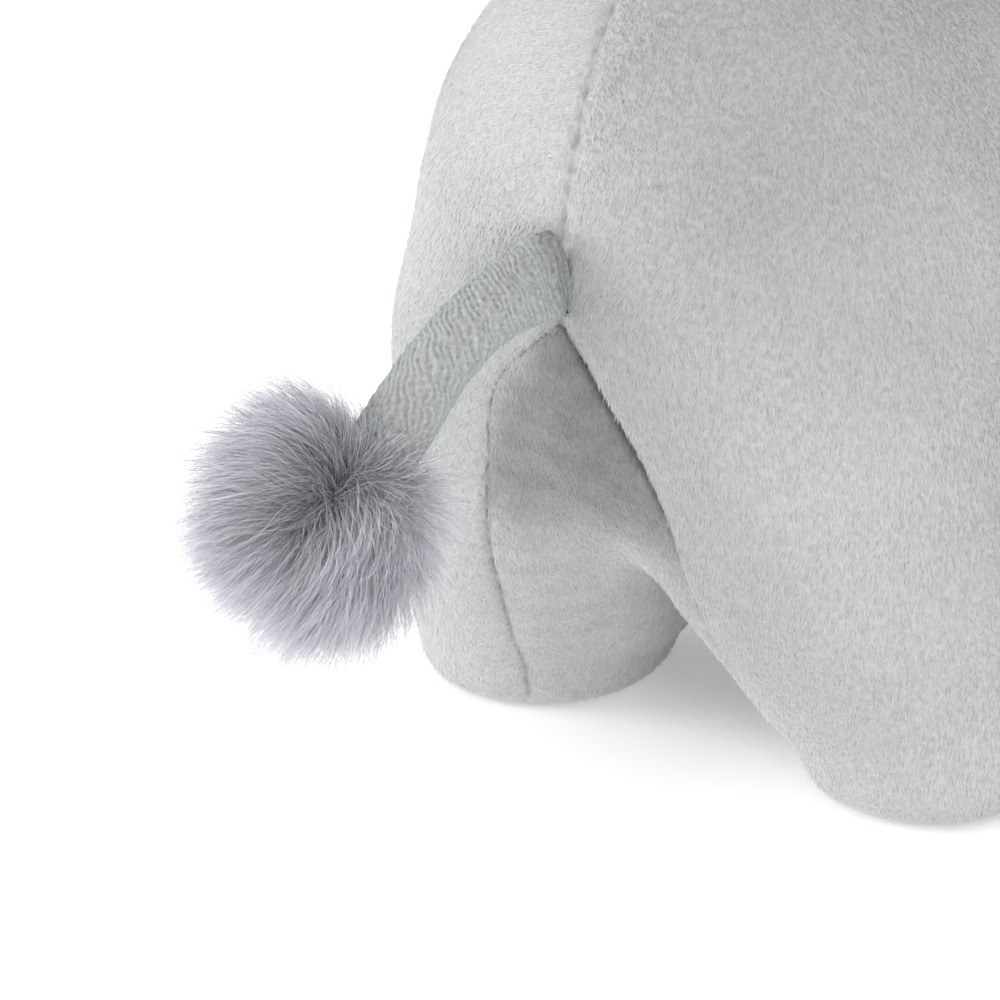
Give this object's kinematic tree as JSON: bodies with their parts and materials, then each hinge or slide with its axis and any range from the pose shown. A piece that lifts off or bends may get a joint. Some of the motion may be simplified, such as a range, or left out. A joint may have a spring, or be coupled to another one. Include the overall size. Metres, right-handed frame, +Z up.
{
  "type": "stuffed elephant",
  "caption": "Plush elephant standing on four sewn feet, with ears and a jointed trunk that flex at their seams and a tail tube that ends in a long-haired fur tuft.",
  "frame": {"origin": "on the surface it stands on, under the middle of the whole animal from trunk to tail tuft", "axes": "+Z up; the animal faces -Y and its left side is +X"},
  "size_m": [0.208, 0.3256, 0.2033],
  "materials": {
    "body_plush": "short-pile minky plush, matte with a soft sheen",
    "gusset_plush": "short-pile minky plush with the nap lying down, matte",
    "lining_plush": "short-pile minky plush, matte",
    "tail_plush": "short-pile plush with fine rows across, matte",
    "tuft_fur": "long faux fur, soft sheen",
    "stuffing_fibre": "polyester fibre fill, matte",
    "bag_cloth": "woven bag, matte",
    "thread": "sewing thread, matte",
    "eye_plastic": "glossy",
    "washer_plastic": "matte"
  },
  "bodies": {
    "root": {"body_panel_left": "body_plush", "body_panel_right": "body_plush", "belly_gusset": "gusset_plush", "body_stuffing": "stuffing_fibre", "leg_stuffing_hind_left": "stuffing_fibre", "leg_stuffing_hind_right": "stuffing_fibre", "leg_stuffing_fore_left": "stuffing_fibre", "leg_stuffing_fore_right": "stuffing_fibre", "pellet_bag_hind_left": "bag_cloth", "pellet_bag_hind_right": "bag_cloth", "pellet_bag_fore_left": "bag_cloth", "pellet_bag_fore_right": "bag_cloth", "sole_hind_left": "lining_plush", "sole_hind_right": "lining_plush", "sole_fore_left": "lining_plush", "sole_fore_right": "lining_plush", "head_panel_left": "body_plush", "head_panel_right": "body_plush", "head_gusset": "body_plush", "head_stuffing": "stuffing_fibre", "eye_left": "eye_plastic", "eye_right": "eye_plastic", "eye_washer_left": "washer_plastic", "eye_washer_right": "washer_plastic", "tail_tab": "tail_plush"},
    "tail_root": {"tail_knot": "thread"},
    "tail_upper": {"tail_upper_cover": "tail_plush", "tail_upper_filling": "stuffing_fibre"},
    "tail_lower": {"tail_lower_cover": "tail_plush", "tail_lower_filling": "stuffing_fibre", "tuft_core": "stuffing_fibre", "tail_tuft": "tuft_fur"},
    "trunk_base": {"trunk_base_cover": "body_plush", "trunk_base_stuffing": "stuffing_fibre"},
    "trunk_tip": {"trunk_tip_cover": "body_plush", "trunk_tip_stuffing": "stuffing_fibre"},
    "ear_left": {"ear_back_left": "body_plush", "ear_front_left": "lining_plush", "ear_wadding_left": "stuffing_fibre"},
    "ear_right": {"ear_back_right": "body_plush", "ear_front_right": "lining_plush", "ear_wadding_right": "stuffing_fibre"}
  },
  "joints": [
    {"name": "tail_swing", "type": "hinge", "parent": "root", "child": "tail_root", "pos_m": [0, 0.096, 0.116], "axis": [0, 0, 1], "range_deg": [-15, 75], "stiffness_Nm_per_rad": 0.04},
    {"name": "tail_lift", "type": "hinge", "parent": "tail_root", "child": "tail_upper", "pos_m": [0, 0.096, 0.116], "axis": [0.866, -0.5, 0], "range_deg": [-10, 60], "stiffness_Nm_per_rad": 0.08},
    {"name": "tail_bend", "type": "hinge", "parent": "tail_upper", "child": "tail_lower", "pos_m": [0.00823, 0.11025, 0.1065], "axis": [0.866, -0.5, 0], "range_deg": [-20, 45], "stiffness_Nm_per_rad": 0.05},
    {"name": "trunk_lift", "type": "hinge", "parent": "root", "child": "trunk_base", "pos_m": [0, -0.122, 0.132], "axis": [-1, 0, 0], "range_deg": [-12, 35], "stiffness_Nm_per_rad": 0.1},
    {"name": "trunk_curl", "type": "hinge", "parent": "trunk_base", "child": "trunk_tip", "pos_m": [0, -0.143, 0.097], "axis": [-1, 0, 0], "range_deg": [-12, 45], "stiffness_Nm_per_rad": 0.05},
    {"name": "ear_left_fold", "type": "hinge", "parent": "root", "child": "ear_left", "pos_m": [0.053, -0.068, 0.158], "axis": [0.1638, 0.0819, -0.9831], "range_deg": [-20, 50], "stiffness_Nm_per_rad": 0.02},
    {"name": "ear_right_fold", "type": "hinge", "parent": "root", "child": "ear_right", "pos_m": [-0.053, -0.068, 0.158], "axis": [0.1638, -0.0819, 0.9831], "range_deg": [-20, 50], "stiffness_Nm_per_rad": 0.02}
  ]
}
